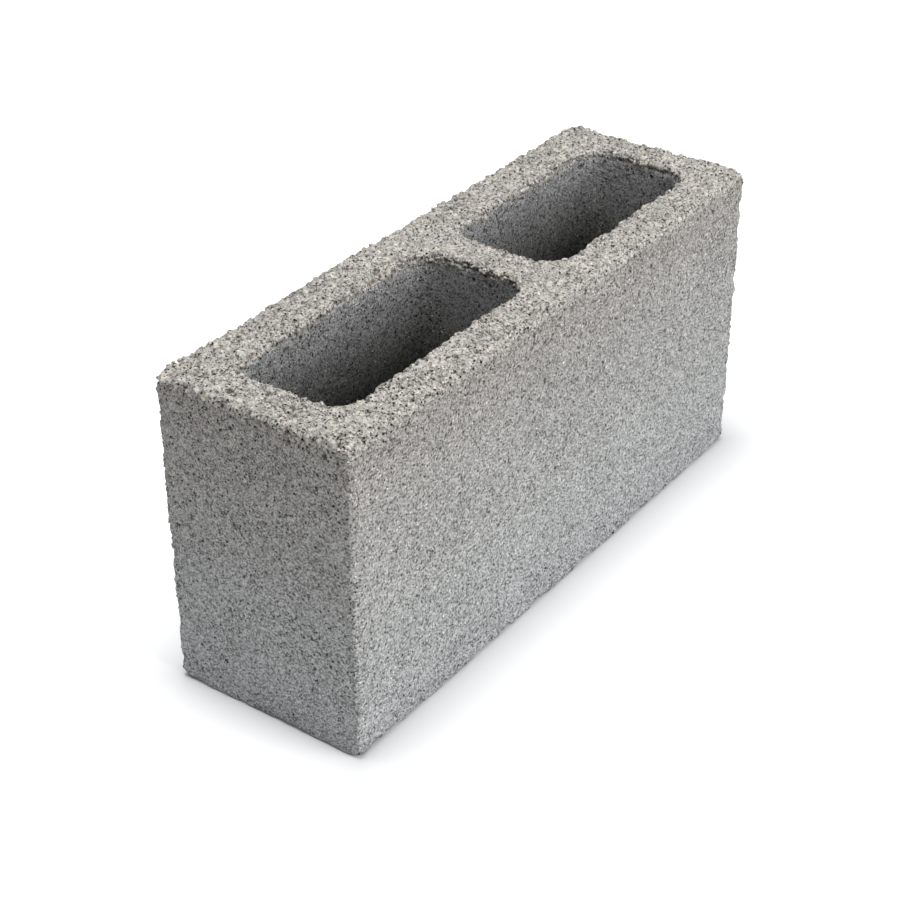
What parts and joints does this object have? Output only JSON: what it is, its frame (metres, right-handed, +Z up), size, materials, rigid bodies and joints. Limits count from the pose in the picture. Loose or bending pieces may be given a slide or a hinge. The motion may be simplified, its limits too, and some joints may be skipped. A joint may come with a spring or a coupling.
{
  "type": "concrete block",
  "caption": "Hollow cast concrete masonry block with open upright cells right through, thin face shells, end walls and a middle web, and rounded cell corners",
  "frame": {"origin": "middle of the bottom bed face, under the middle of the block's box", "axes": "+X along the length to the end by the short cell, +Y across the thickness to the thicker face shell, +Z up to the open-textured top bed"},
  "size_m": [0.44, 0.14, 0.215],
  "materials": {
    "concrete": "rough, open-textured, uncoated"
  },
  "bodies": {
    "root": {"hollow_block": "concrete"}
  },
  "joints": []
}
